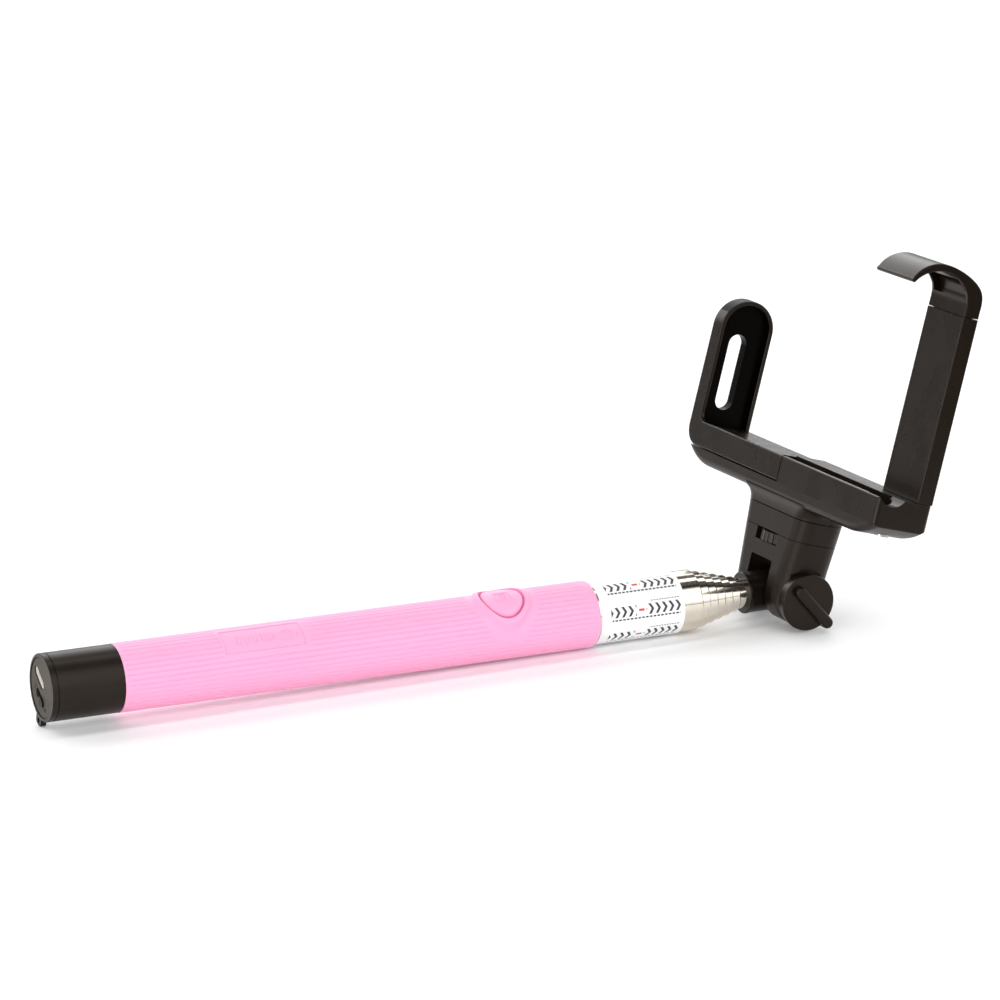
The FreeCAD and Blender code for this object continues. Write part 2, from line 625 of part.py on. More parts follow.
def base_hull():
    depth = BEAM_HALF_DEPTH
    hull = hull_profile().extrude(V(2 * depth, 0, 0))
    hull.translate(V(-depth, 0, 0))

    def long_low_edge(edge):
        bounds = edge.BoundBox
        at_side = near(abs(bounds.Center.x), depth)
        return at_side and bounds.YLength > 8 and bounds.ZMin < HULL_LOW + 0.1
    hull = fillet(hull, 2.4, long_low_edge)
    plan = Part.Face(rounded_rect(depth, 70.0, BLOCK_CORNER_R, 0)).extrude(V(0, 0, 60))
    plan.translate(V(0, BEAM_END_Y + 70.0, 0))
    hull = hull.common(plan)
    neck = Part.makeLoft([rounded_rect(*section) for section in NECK_SECTIONS], True)
    neck = neck.cut(box(-20, 20, -30, 30, HULL_LOW + 1.2, 40))
    hull = join(hull, neck)
    hull = hull.cut(cyl_z(SCREW_R + 0.25, 0, 40))
    nut = hexagon(NUT_FLATS + 0.04, NUT_LOW, 40)
    nut.rotate(V(0, 0, 0), V(1, 0, 0), 90)
    nut.rotate(V(0, 0, 0), V(0, 0, 1), 90)
    if nut.BoundBox.ZMax < 0:
        nut.rotate(V(0, 0, 0), V(1, 0, 0), 180)
    hull = hull.cut(nut)
    hull = hull.cut(box(-7.0, 7.0, 33.0, 50.0, HULL_LOW + 1.6, HULL_TOP + 1))
    for y in HULL_SCREWS_Y:
        hull = hull.cut(cyl_z(1.4, 0, 40, 0, y)).cut(cyl_z(2.5, 0, HULL_LOW + 2.0, 0, y))
    return place_head(hull)


def insert_nut():
    nut = hexagon(NUT_FLATS, NUT_LOW, NUT_TOP)
    nut.rotate(V(0, 0, 0), V(1, 0, 0), 90)
    nut.rotate(V(0, 0, 0), V(0, 0, 1), 90)
    if nut.BoundBox.ZMax < 0:
        nut.rotate(V(0, 0, 0), V(1, 0, 0), 180)
    return place_head(nut.cut(cyl_z(SCREW_R + 0.06, 0, 40)))


def hull_screws():
    screws = []
    for y in HULL_SCREWS_Y:
        head = cyl_z(2.3, HULL_LOW + 0.5, HULL_LOW + 2.0, 0, y)
        shank = cyl_z(HULL_SCREW_R, HULL_LOW + 1.9, HULL_LOW + 7.0, 0, y)
        drive = join(box(-1.4, 1.4, y - 0.3, y + 0.3, 0, HULL_LOW + 1.2),
                     box(-0.3, 0.3, y - 1.4, y + 1.4, 0, HULL_LOW + 1.2))
        screws.append(join(head, shank).cut(drive))
    return place_head(Part.makeCompound(screws))


def slide_space(extra, y0, y1):
    w0, w1, u0, u1 = SLIDE_BAR
    return box(w0 - extra, w1 + extra, y0, y1, u0 - extra, u1 + extra)


def tray_block():
    """Right half of the tray: front wall, open groove for the phone's edge, and rear ledge."""
    depth = BEAM_HALF_DEPTH
    front = box(-depth, -depth + RIM_WALL + 0.6, BEAM_END_Y, -SEAM_HALF, HULL_TOP, RIM_TOP)
    rear = box(-depth + RIM_WALL + 0.3, depth, BEAM_END_Y, BLOCK_STEP_Y, HULL_TOP, RIM_TOP)
    front = fillet(front, BLOCK_CORNER_R, level_edge(x=-depth, y=BEAM_END_Y))
    rear = fillet(rear, BLOCK_CORNER_R, level_edge(x=depth, y=BEAM_END_Y))
    block = join(front, rear)
    block = fillet(block, TOP_ROUND, lambda e: near(abs(e.BoundBox.Center.x), depth) and e.BoundBox.YLength > 20
                   and near(e.BoundBox.ZMin, RIM_TOP))
    groove_front = -depth + RIM_WALL
    groove_end = BEAM_END_Y + 3.6
    half = (LEDGE_FRONT - groove_front) / 2
    middle = groove_front + half
    groove = join(box(groove_front, LEDGE_FRONT, groove_end + half, 40, GROOVE_FLOOR, 60),
                  cyl_z(half, GROOVE_FLOOR, 60, middle, groove_end + half))
    block = block.cut(groove)
    w, u, radius = SCOOP
    block = block.cut(cyl_y(radius, BEAM_END_Y - 1, BEAM_END_Y + 8.0, w, u))
    block = block.cut(slide_space(SLIDE_HALF_GAP, -37.0, 40))
    block = block.cut(box(5.4, 8.2, -57.0, -42.0, RIM_TOP - 4, 60))
    for y in HULL_SCREWS_Y:
        block = block.cut(cyl_z(HULL_SCREW_R, 0, HULL_TOP + 2.4, 0, y))
    return place_head(block)


def arm_outline(half, top, low):
    """Slotted arm's outline: straight sides and a round top, in the plane across the beam."""
    left = V(-half, 0, low)
    right = V(half, 0, low)
    centre_u = ARM_ARC_U
    edges = [Part.makeLine(right, V(half, 0, centre_u)),
             Part.Arc(V(half, 0, centre_u), V(0, 0, top), V(-half, 0, centre_u)).toShape(),
             Part.makeLine(V(-half, 0, centre_u), left),
             Part.makeLine(left, right)]
    return Part.Face(Part.Wire(edges))


def slotted_bracket():
    """Left half of the tray and the slotted end arm, one moulding that slides along the beam."""
    depth = BEAM_HALF_DEPTH
    arm = arm_outline(depth, ARM_ARC_U + depth, BRACKET_LOW).extrude(V(0, BRACKET_END_Y - ARM_RIM_Y, 0))
    arm.translate(V(0, ARM_RIM_Y, 0))
    inner = depth - ARM_RIM_WIDTH
    recess = arm_outline(inner, ARM_ARC_U + inner, BRACKET_FLOOR).extrude(V(0, ARM_PLATE_Y - ARM_RIM_Y + 1, 0))
    recess.translate(V(0, ARM_RIM_Y - 1, 0))
    floor = box(-depth, depth, BRACKET_STEP_Y, ARM_RIM_Y + 1, BRACKET_LOW, BRACKET_FLOOR)
    wall = box(-depth, -depth + RIM_WALL, SEAM_HALF, ARM_RIM_Y + 1, BRACKET_LOW, RIM_TOP)
    bracket = join(arm.cut(recess), floor, wall)
    bracket = fillet(bracket, 6.0, level_edge(y=BRACKET_END_Y, z=BRACKET_LOW))
    bracket = fillet(bracket, FOOT_FILLET, level_edge(y=ARM_RIM_Y, z=RIM_TOP))
    bracket = fillet(bracket, 0.5, lambda e: near(e.BoundBox.YMin, BRACKET_END_Y, 0.1) and e.BoundBox.ZMax > 45)

    def rim_edge(edge):
        bounds = edge.BoundBox
        on_arm = near(bounds.YMin, ARM_RIM_Y) and near(bounds.YMax, ARM_RIM_Y) and bounds.ZMax > 45
        on_wall = near(bounds.Center.x, -depth) and near(bounds.ZMin, RIM_TOP) and bounds.YLength > 1
        return on_arm or on_wall
    bracket = fillet(bracket, TOP_ROUND, rim_edge)
    hollow = box(-depth + 1.6, depth - 1.6, 32.0, 52.0, 0, BRACKET_FLOOR - 1.8)
    bracket = bracket.cut(hollow).cut(slide_space(0.02, -20, 31.0))
    w, width, low, top = ARM_SLOT
    half = width / 2
    slot = join(box(w - half, w + half, 50, 70, low + half, top - half),
                cyl_y(half, 50, 70, w, low + half), cyl_y(half, 50, 70, w, top - half))
    return place_head(bracket.cut(slot))


def slide_bar():
    """Flat bar fixed in the bracket, which runs in the tray block's channel."""
    w0, w1, u0, u1 = SLIDE_BAR
    bar = box(w0, w1, -35.0, 30.9, u0, u1)
    return place_head(fillet(bar, 0.4, lambda e: e.BoundBox.YLength > 20))


def hook_arm():
    """Hollow upright that guides the sprung hook."""
    depth = BEAM_HALF_DEPTH
    arm = box(HOOK_ARM_FACE, depth, BEAM_END_Y, HOOK_ARM_SIDE_Y, RIM_TOP, HOOK_SEAM - HOOK_GAP / 2)
    arm = fillet(arm, 0.5, lambda e: e.BoundBox.ZLength > 50)
    arm = fillet(arm, 0.25, level_edge(z=RIM_TOP))
    tenon = box(5.45, 8.15, -56.9, -42.1, RIM_TOP - 3.9, RIM_TOP + 2)
    arm = join(arm, tenon)
    hollow = box(HOOK_ARM_FACE + ARM_WALL, depth - ARM_WALL, BEAM_END_Y + ARM_WALL, HOOK_ARM_SIDE_Y - ARM_WALL,
                 RIM_TOP + 2.5, HOOK_SEAM + 1)
    post = cyl_z(0.5, RIM_TOP + 2.4, RIM_TOP + 4.0, HOOK_STEM_W, HOOK_MID_Y)
    return place_head(join(arm.cut(hollow), post))


HOOK_MID_Y = (BEAM_END_Y + HOOK_ARM_SIDE_Y) / 2
HOOK_STEM_W = (HOOK_ARM_FACE + BEAM_HALF_DEPTH) / 2


def hook_profile():
    """Side view of the hook: a thick back that thins over the crown to a down-turned lip."""
    seam = HOOK_SEAM + HOOK_GAP / 2
    back = BEAM_HALF_DEPTH - 0.1
    face = HOOK_ARM_FACE + 0.2
    outer = [(back, seam), (back, 101.0), (back, 103.2), (8.5, 106.4), (4.9, 109.6), (-1.4, 112.1),
             (-7.6, 112.7), (-12.6, 110.9), (-16.1, 107.0)]
    inner = [(-15.1, 105.9), (-11.8, 108.9), (-7.4, 110.4), (-2.4, 110.1), (1.8, 107.4), (3.7, 104.9),
             (face, 102.0), (face, 100.0), (face, seam)]
    sides = []
    for points in (outer, inner):
        curve = Part.BSplineCurve()
        curve.interpolate([V(w, 0, u) for w, u in points])
        sides.append(curve.toShape())
    tip = Part.Arc(V(-16.1, 0, 107.0), V(-16.1, 0, 105.9), V(-15.1, 0, 105.9)).toShape()
    foot = Part.makeLine(V(face, 0, seam), V(back, 0, seam))
    return Part.Face(Part.Wire([sides[0], tip, sides[1], foot]))


def hook_slider():
    hook = hook_profile().extrude(V(0, HOOK_ARM_SIDE_Y - BEAM_END_Y, 0))
    hook.translate(V(0, BEAM_END_Y, 0))
    hook = fillet(hook, 0.3, lambda e: e.BoundBox.YLength < 0.01 and e.BoundBox.ZLength > 3)
    clear = 0.2
    stem = box(HOOK_ARM_FACE + ARM_WALL + clear, BEAM_HALF_DEPTH - ARM_WALL - clear,
               BEAM_END_Y + ARM_WALL + clear, HOOK_ARM_SIDE_Y - ARM_WALL - clear, STEM_LOW, HOOK_SEAM + 1)
    stem = fillet(stem, 0.3, lambda e: e.BoundBox.ZLength > 20)
    wall = HOOK_END_WALL
    w, u, radius = HOOK_HOLLOW
    hollow = cyl_y(radius, BEAM_END_Y + wall, HOOK_ARM_SIDE_Y - wall, w, u)
    hollow = hollow.cut(box(-40, 40, BEAM_END_Y, HOOK_ARM_SIDE_Y, 60, HOOK_FACE_TOP))
    hook = hook.cut(hollow)
    slot = box(0, 20, HOOK_MID_Y - 1.6, HOOK_MID_Y + 1.6, STEM_LOW - 1, STEM_LOW + 6)
    return place_head(join(hook, stem.cut(slot)))


SPRING_R = 0.95
SPRING_WIRE = 0.16
SPRING_LOW = RIM_TOP + 4.2
SPRING_TURNS = 16


def hook_spring():
    """Extension spring between the arm's post and the hook's stem."""
    height = STEM_LOW - 0.3 - SPRING_LOW
    helix = Part.makeHelix(height / SPRING_TURNS, height, SPRING_R)
    section = Part.Wire(Part.makeCircle(SPRING_WIRE, V(SPRING_R, 0, 0), V(0, 1, 0)))
    spring = Part.Wire(helix.Edges).makePipeShell([section], True, True)
    spring.translate(V(HOOK_STEM_W, HOOK_MID_Y, SPRING_LOW))
    return place_head(spring)


# ---- write --------------------------------------------------------------------------------------
PIECES = {
    "end_cap": end_cap,
    "end_plate": end_plate,
    "power_switch": power_switch,
    "switch_body": switch_body,
    "led_lens": led_lens,
    "usb_socket": usb_socket,
    "control_board": control_board,
    "battery_cell": battery_cell,
    "handle_core": handle_core,
    "flex_cable": flex_cable,
    "dome_switch": dome_switch,
    "shutter_button": shutter_button,
    "grip_sleeve": grip_sleeve,
    "label_wrap": label_wrap,
    "end_fitting": end_fitting,
    "clevis_body": clevis_body,
    "head_collar": head_collar,
    "head_screws": head_screws,
    "friction_washers": friction_washers,
    "pivot_bolt": pivot_bolt,
    "thumb_knob": thumb_knob,
    "knob_insert": knob_insert,
    "lock_wheel": lock_wheel,
    "camera_screw": camera_screw,
    "base_hull": base_hull,
    "insert_nut": insert_nut,
    "hull_screws": hull_screws,
    "tray_block": tray_block,
    "slotted_bracket": slotted_bracket,
    "slide_bar": slide_bar,
    "hook_arm": hook_arm,
    "hook_slider": hook_slider,
    "hook_spring": hook_spring,
}


def main():
    os.makedirs("parts", exist_ok=True)
    shapes = {name: make() for name, make in PIECES.items()}
    shapes["tube_1"] = pole_tube(1)
    for stage in range(2, STAGES + 1):
        shapes["tube_%d" % stage] = pole_tube(stage)
        shapes["friction_bush_%d" % stage] = friction_bush(stage)
    for name, shape in shapes.items():
        shape.exportStep("parts/%s.step" % name)
        print(name, "solids", len(shape.Solids), "volume %.1f" % shape.Volume, "valid", shape.isValid())


main()
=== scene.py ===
"""Telescopic phone stick lying on a white table: looks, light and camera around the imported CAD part."""

import json
import math

import bpy
import numpy as np
from mathutils import Matrix, Vector


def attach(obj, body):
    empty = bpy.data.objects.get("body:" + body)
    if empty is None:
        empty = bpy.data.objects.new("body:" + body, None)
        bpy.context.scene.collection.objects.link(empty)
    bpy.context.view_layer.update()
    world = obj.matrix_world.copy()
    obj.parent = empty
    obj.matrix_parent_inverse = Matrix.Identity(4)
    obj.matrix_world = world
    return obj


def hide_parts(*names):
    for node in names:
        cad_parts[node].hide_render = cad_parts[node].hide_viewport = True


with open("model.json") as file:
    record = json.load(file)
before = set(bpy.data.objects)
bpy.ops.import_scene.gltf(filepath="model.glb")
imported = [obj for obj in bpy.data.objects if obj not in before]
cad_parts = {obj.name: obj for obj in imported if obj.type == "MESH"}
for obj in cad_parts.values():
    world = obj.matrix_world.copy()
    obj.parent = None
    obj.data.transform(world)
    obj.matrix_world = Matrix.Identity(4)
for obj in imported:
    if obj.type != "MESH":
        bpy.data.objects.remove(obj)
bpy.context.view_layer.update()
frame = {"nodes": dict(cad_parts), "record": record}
NODES = frame["nodes"]

MM = 0.001                        # every length below is in mm, in the row's frame
GRIP_R = 10.28
GRIP_BORE_R = 9.56
GRIP_X = (-77.0, 77.0)
GRIP_FRONT_ROUND = 0.8
GRIP_REAR_ROUND = 0.3
RIBS = 40
RIB_DEPTH = 0.17
RIB_FADE = 1.5                    # run-out of the ribs at the grip's ends
BUTTON_X = 46.6
BUTTON_TURN = math.radians(20.0)  # turns are from the top toward the button's side
BUTTON_EDGE_R = 6.45
BUTTON_EDGE_ROUND = 0.5
BUTTON_TOP_R = 11.15
BUTTON_CROWN = 0.18
BUTTON_LOW_R = 9.95
BUTTON_POCKET = (3.0, 10.45)      # radius and height of the hollow over the dome switch
ICON_RELIEF = 0.24
ICON_BODY = (2.5, 1.7)            # half length and half width of the camera outline
ICON_LENS_R = 0.95
WINDOW_EDGE = (6.75, 7.15)        # foot and lip of the wall round the button
WINDOW_FLOOR_R = 9.62
RING_SLOPE = (7.9, 9.6)           # top and foot of the raised ring round the button
RING_SWELL = 0.70
RING_CALM = (10.5, 12.0)          # where the ribs fade in outside the ring
BUTTON_SIDE_REACH = 16.0          # the ring lies wholly within this distance round the grip
PLAQUE_X = (-45.0, -19.5)
PLAQUE_TURN = math.radians(35.0)
PLAQUE_HALF_WIDTH = 4.5
PLAQUE_DEPTH = 0.28
PLAQUE_EDGE = 0.16
PLAQUE_MARGIN = 0.7
EMBLEM_RELIEF = 0.24
OVAL_X = 7.6
OVAL_HALF = (3.4, 2.0)
BARS_X = -2.5
BARS_REACH = 6.5
BARS_PITCH = 2.6
SLOPE_SHADE_GAIN = 0.28                # how strongly a slope in the relief deepens the colour, as painted shade
# painted shade on the button's side wall and underside
BUTTON_WALL_SHADE = 0.8
HEAD_TILT = math.radians(15.2)
PIVOT_X = 143.0
RECESS_HALF_WIDTH = 8.15
RECESS_Y = (55.6, 61.1)
SMOOTH_ANGLE = math.radians(50.0)

BLACK = (0.0068, 0.0036, 0.0016)
# painted shade: a deeper black laid in the slotted arm's recess and slot
RECESS_SHADE_BLACK = (0.0012, 0.0008, 0.0006)
PINK = (0.93, 0.385, 0.61)
# painted shade: deeper pink on the slopes of the grip's and button's relief
PAINTED_SHADE_PINK = (0.80, 0.16, 0.36)
INK = (0.022, 0.022, 0.026)
RED = (0.62, 0.05, 0.05)
PLASTIC_SPECULAR = 0.24
RECESS_SPECULAR = 0.04


# ---- materials ----------------------------------------------------------------------------------
class Nodes:
    """Small helper for building one material's node tree."""

    def __init__(self, name):
        self.material = bpy.data.materials.new(name)
        self.material.use_nodes = True
        self.tree = self.material.node_tree
        self.tree.nodes.clear()
        out = self.tree.nodes.new("ShaderNodeOutputMaterial")
        self.bsdf = self.tree.nodes.new("ShaderNodeBsdfPrincipled")
        self.link(self.bsdf.outputs["BSDF"], out.inputs["Surface"])
        coords = self.tree.nodes.new("ShaderNodeTexCoord")
        self.object = coords.outputs["Object"]

    def link(self, a, b):
        self.tree.links.new(a, b)

    def set(self, **values):
        for key, value in values.items():
            self.bsdf.inputs[key.replace("_", " ")].default_value = value

    def node(self, kind, **values):
        added = self.tree.nodes.new(kind)
        for key, value in values.items():
            setattr(added, key, value)
        return added

    def axes(self):
        """Object coordinates along X, Y and Z."""
        split = self.node("ShaderNodeSeparateXYZ")
        self.link(self.object, split.inputs["Vector"])
        return split.outputs["X"], split.outputs["Y"], split.outputs["Z"]

    def noise(self, scale, detail=3.0, rough=0.5):
        """Noise with the given number of cells to the mm, along all axes or along each one."""
        mapping = self.node("ShaderNodeMapping")
        size = (scale,) * 3 if isinstance(scale, (int, float)) else scale
        mapping.inputs["Scale"].default_value = [s / MM for s in size]
        self.link(self.object, mapping.inputs["Vector"])
        texture = self.node("ShaderNodeTexNoise")
        texture.inputs["Scale"].default_value = 1.0
        texture.inputs["Detail"].default_value = detail
        texture.inputs["Roughness"].default_value = rough
        self.link(mapping.outputs["Vector"], texture.inputs["Vector"])
        return texture.outputs["Fac"]

    def ramp(self, fac, stops):
        added = self.node("ShaderNodeValToRGB")
        elements = added.color_ramp.elements
        for element, (place, colour) in zip(elements, stops):
            element.position = place
            element.color = (*colour, 1.0)
        self.link(fac, added.inputs["Fac"])
        return added.outputs["Color"]

    def span(self, fac, low, high, source=(0.0, 1.0)):
        added = self.node("ShaderNodeMapRange")
        added.inputs["From Min"].default_value = source[0]
        added.inputs["From Max"].default_value = source[1]
        added.inputs["To Min"].default_value = low
        added.inputs["To Max"].default_value = high
        self.link(fac, added.inputs["Value"])
        return added.outputs["Result"]

    def math(self, operation, a, b=None):
        added = self.node("ShaderNodeMath", operation=operation)
        for socket, value in zip(added.inputs, (a, b)):
            if isinstance(value, (int, float)):
                socket.default_value = value
            elif value is not None:
                self.link(value, socket)
        return added.outputs["Value"]

    def mix(self, fac, a, b):
        added = self.node("ShaderNodeMix", data_type="RGBA")
        self.link(fac, added.inputs["Factor"])
        for socket, value in ((added.inputs[6], a), (added.inputs[7], b)):
            if isinstance(value, tuple):
                socket.default_value = (*value, 1.0)
            else:
                self.link(value, socket)
        return added.outputs[2]

    def between(self, value, low, high):
        return self.math("MULTIPLY", self.math("GREATER_THAN", value, low), self.math("LESS_THAN", value, high))

    def bump(self, height, distance):
        added = self.node("ShaderNodeBump")
        added.inputs["Strength"].default_value = 1.0
        added.inputs["Distance"].default_value = distance * MM
        self.link(height, added.inputs["Height"])
        self.link(added.outputs["Normal"], self.bsdf.inputs["Normal"])

    def colour(self, socket):
        self.link(socket, self.bsdf.inputs["Base Color"])

    def rough(self, socket):
        self.link(socket, self.bsdf.inputs["Roughness"])


def shade(colour, factor):
    return tuple(min(1.0, c * factor) for c in colour)


def mottled(n, colour, scale, detail, spread):
    """Colour that drifts a little either way over the surface."""
    return n.ramp(n.noise(scale, detail), [(0.3, shade(colour, 1 - spread)), (0.7, shade(colour, 1 + spread))])


def plastic_nodes(name, colour, rough):
    n = Nodes(name)
    n.set(Specular_IOR_Level=PLASTIC_SPECULAR, Specular_Tint=(1.0, 0.90, 0.83, 1.0))
    n.colour(mottled(n, colour, 0.12, 4.0, 0.15))
    n.rough(n.span(n.noise(0.08, 3.0), rough - 0.02, rough + 0.03, (0.3, 0.7)))
    n.bump(n.noise(1.8, 2.0), 0.0007)
    return n


def plastic(name, colour, rough):
    """Moulded plastic: faint mottling, uneven gloss and a fine spark-eroded grain."""
    return plastic_nodes(name, colour, rough).material


def recess_shaded_plastic(name, colour, rough):
    """Moulded plastic with painted shade: a deeper black with less gloss in the slotted arm's recess and slot.
    """
    n = plastic_nodes(name, colour, rough)
    x, y, z = n.axes()
    lean = n.math("SUBTRACT", n.math("MULTIPLY", x, math.cos(HEAD_TILT)),
                  n.math("MULTIPLY", z, math.sin(HEAD_TILT)))
    off = n.math("ABSOLUTE", n.math("SUBTRACT", lean, PIVOT_X * MM * math.cos(HEAD_TILT)))
    inside = n.math("LESS_THAN", off, RECESS_HALF_WIDTH * MM)
    # where the painted shade of the recess and slot lies
    recess_shade_mask = n.math("MULTIPLY", inside, n.between(y, RECESS_Y[0] * MM, RECESS_Y[1] * MM))
    n.colour(n.mix(recess_shade_mask, n.bsdf.inputs["Base Color"].links[0].from_socket, RECESS_SHADE_BLACK))
    level = n.span(recess_shade_mask, PLASTIC_SPECULAR, RECESS_SPECULAR)
    n.link(level, n.bsdf.inputs["Specular IOR Level"])
    return n.material


def metal(name, colour, rough, stretch=(0.05, 9.0, 9.0), bump=0.003, metallic=1.0):
    """Turned or drawn metal with a fine directional grain."""
    n = Nodes(name)
    n.set(Metallic=metallic)
    grain = n.noise(stretch, 4.0, 0.6)
    n.colour(n.ramp(grain, [(0.3, shade(colour, 0.88)), (0.7, shade(colour, 1.06))]))
    n.rough(n.span(grain, rough - 0.04, rough + 0.08, (0.3, 0.7)))
    n.bump(grain, bump)
    return n.material


def pink_rubber(name):
    """Soft silicone: matt, slightly translucent, with painted shade deepening its colour in its creases and on
    the slopes of its relief.
    """
    n = Nodes(name)
    n.set(Specular_IOR_Level=0.35, Sheen_Weight=0.25, Sheen_Roughness=0.5, Subsurface_Weight=0.12,
          Subsurface_Radius=(0.0006, 0.00025, 0.0004), Subsurface_Scale=1.0)
    # painted shade, weighted per point by the mesh's attribute
    painted_shade = n.node("ShaderNodeAttribute", attribute_name="painted_shade").outputs["Fac"]
    n.colour(n.mix(painted_shade, mottled(n, PINK, 0.05, 3.0, 0.015), PAINTED_SHADE_PINK))
    n.rough(n.span(n.noise(0.8, 4.0), 0.52, 0.62, (0.3, 0.7)))
    n.bump(n.noise(9.0, 3.0, 0.6), 0.006)
    return n.material


LABEL_ROWS = 7
LABEL_TURN = 0.033                # turn of the first row, radians
ARROW_ROW = (0.31, 0.69)          # each row's parts, as fractions of the row's height
DASH_ROW = (0.19, 0.25)
SPECK_ROW = (0.77, 0.81)
RED_ROW = (0.455, 0.545)
ARROW_X = (80.6, 104.4)
ARROW_GAP_X = (89.3, 92.6)
DASH_X = (80.9, 104.2)
SPECK_X = (94.0, 104.2)
RED_X = (90.0, 91.9)
ARROW_PITCH = 2.3
ARROW_LEAN = 5.2


def label_print(name):
    """White film printed with plain arrows, dashes and a red bar in rows round the tube."""
    n = Nodes(name)
    n.set(Specular_IOR_Level=0.5, Coat_Weight=0.3, Coat_Roughness=0.12)
    along, across, height = n.axes()
    x = n.math("DIVIDE", along, MM)
    angle = n.math("ARCTAN2", across, height)
    row = n.math("FRACT", n.math("MULTIPLY", n.math("ADD", angle, LABEL_TURN), LABEL_ROWS / (2 * math.pi)))

    def patch(row_span, x_span):
        return n.math("MULTIPLY", n.between(row, *row_span), n.between(x, *x_span))

    def repeats(place, pitch, fill):
        return n.math("LESS_THAN", n.math("FRACT", n.math("DIVIDE", place, pitch)), fill)
    lean = n.math("MULTIPLY", n.math("ABSOLUTE", n.math("SUBTRACT", row, 0.5)), ARROW_LEAN)
    chevrons = repeats(n.math("ADD", x, lean), ARROW_PITCH, 0.40)
    outside_gap = n.math("SUBTRACT", 1.0, n.between(x, *ARROW_GAP_X))
    arrows = n.math("MULTIPLY", n.math("MULTIPLY", patch(ARROW_ROW, ARROW_X), chevrons), outside_gap)
    dashes = n.math("MULTIPLY", patch(DASH_ROW, DASH_X), repeats(x, 1.3, 0.70))
    specks = n.math("MULTIPLY", patch(SPECK_ROW, SPECK_X), repeats(x, 0.9, 0.6))
    ink = n.math("MINIMUM", n.math("ADD", n.math("ADD", arrows, dashes), specks), 1.0)
    paper = n.ramp(n.noise(0.4, 3.0), [(0.3, (0.86, 0.86, 0.87)), (0.7, (0.92, 0.92, 0.92))])
    n.colour(n.mix(patch(RED_ROW, RED_X), n.mix(ink, paper, INK), RED))
    n.rough(n.span(n.noise(0.9, 3.0), 0.26, 0.36, (0.3, 0.7)))
    n.bump(n.noise(1.2, 2.0), 0.004)
    return n.material


MATERIALS = {
    "cap_black": lambda s: plastic(s, (0.0095, 0.0065, 0.0040), 0.33),
    "plate_black": lambda s: plastic(s, (0.040, 0.033, 0.024), 0.5),
    "switch_black": lambda s: plastic(s, (0.004, 0.003, 0.002), 0.3),
    "switch_metal": lambda s: metal(s, (0.5, 0.49, 0.47), 0.35),
    "led_lens": lambda s: plastic(s, (0.028, 0.010, 0.008), 0.12),
    "socket_metal": lambda s: metal(s, (0.86, 0.83, 0.77), 0.45, metallic=0.25),
    "board_green": lambda s: plastic(s, (0.02, 0.14, 0.06), 0.3),
    "cell_foil": lambda s: plastic(s, (0.55, 0.56, 0.57), 0.3),
    "core_plastic": lambda s: plastic(s, (0.03, 0.03, 0.03), 0.5),
    "flex_amber": lambda s: plastic(s, (0.6, 0.28, 0.04), 0.25),
    "dome_steel": lambda s: metal(s, (0.6, 0.59, 0.57), 0.2),
    "button_pink": pink_rubber,
    "grip_pink": pink_rubber,
    "label_white": label_print,
    "fitting_black": lambda s: plastic(s, (0.004, 0.003, 0.002), 0.3),
    "head_black": lambda s: plastic(s, BLACK, 0.36),
    "collar_black": lambda s: plastic(s, BLACK, 0.36),
    "screw_steel": lambda s: metal(s, (0.45, 0.44, 0.42), 0.3),
    "washer_fibre": lambda s: plastic(s, (0.06, 0.05, 0.045), 0.7),
    "bolt_steel": lambda s: metal(s, (0.20, 0.195, 0.19), 0.42),
    "knob_black": lambda s: plastic(s, BLACK, 0.30),
    "nut_brass": lambda s: metal(s, (0.66, 0.48, 0.2), 0.25),
    "wheel_black": lambda s: plastic(s, (0.03, 0.027, 0.024), 0.32),
    "hull_black": lambda s: plastic(s, BLACK, 0.34),
    "block_black": lambda s: plastic(s, BLACK, 0.27),
    "bracket_black": lambda s: recess_shaded_plastic(s, BLACK, 0.27),
    "bar_black": lambda s: plastic(s, (0.025, 0.022, 0.02), 0.45),
    "arm_black": lambda s: plastic(s, BLACK, 0.27),
    "hook_black": lambda s: plastic(s, BLACK, 0.25),
    "spring_steel": lambda s: metal(s, (0.55, 0.54, 0.52), 0.25),
    "tube_steel": lambda s: metal(s, (0.80, 0.735, 0.64), 0.09, stretch=(4.0, 0.25, 0.25), bump=0.002),
    "bush_nylon": lambda s: plastic(s, (0.75, 0.74, 0.70), 0.5),
}
SLOT_OF = {s["node"]: s["material_slot"] for s in frame["record"]["subparts"]}
dressed = {}


def dress(obj, slot):
    """Put the slot's material on a piece, in place of whatever it had."""
    if slot not in dressed:
        dressed[slot] = MATERIALS[slot](slot)
    obj.data.materials.clear()
    obj.data.materials.append(dressed[slot])


# ---- meshes -------------------------------------------------------------------------------------
def new_object(name, verts, faces, shade_weights, slot, body, stands_for):
    """Mesh object in mm, turned into metres, dressed, and riding on a CAD body in a CAD piece's place."""
    mesh = bpy.data.meshes.new(name)
    mesh.from_pydata([tuple(float(c) * MM for c in v) for v in verts], [], faces)
    # per-point weight of painted shade on the pink rubber
    layer = mesh.attributes.new("painted_shade", "FLOAT", "POINT")
    layer.data.foreach_set("value", np.clip(shade_weights, 0, 1).astype(np.float32))
    mesh.validate()
    mesh.update()
    mesh.shade_smooth()
    mesh.set_sharp_from_angle(angle=SMOOTH_ANGLE)
    obj = bpy.data.objects.new(name, mesh)
    bpy.context.scene.collection.objects.link(obj)
    dress(obj, slot)
    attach(obj, body)
    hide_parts(stands_for)


def smoothstep(low, high, value):
    t = np.clip((value - low) / (high - low), 0, 1)
    return t * t * (3 - 2 * t)


def wrap(angle):
    return (angle + math.pi) % (2 * math.pi) - math.pi


def round_over(radius, past):
    """Drop of a quarter-round edge at a distance past the round's start."""
    return radius - np.sqrt(np.clip(radius ** 2 - np.clip(past, 0, radius) ** 2, 0, 1))


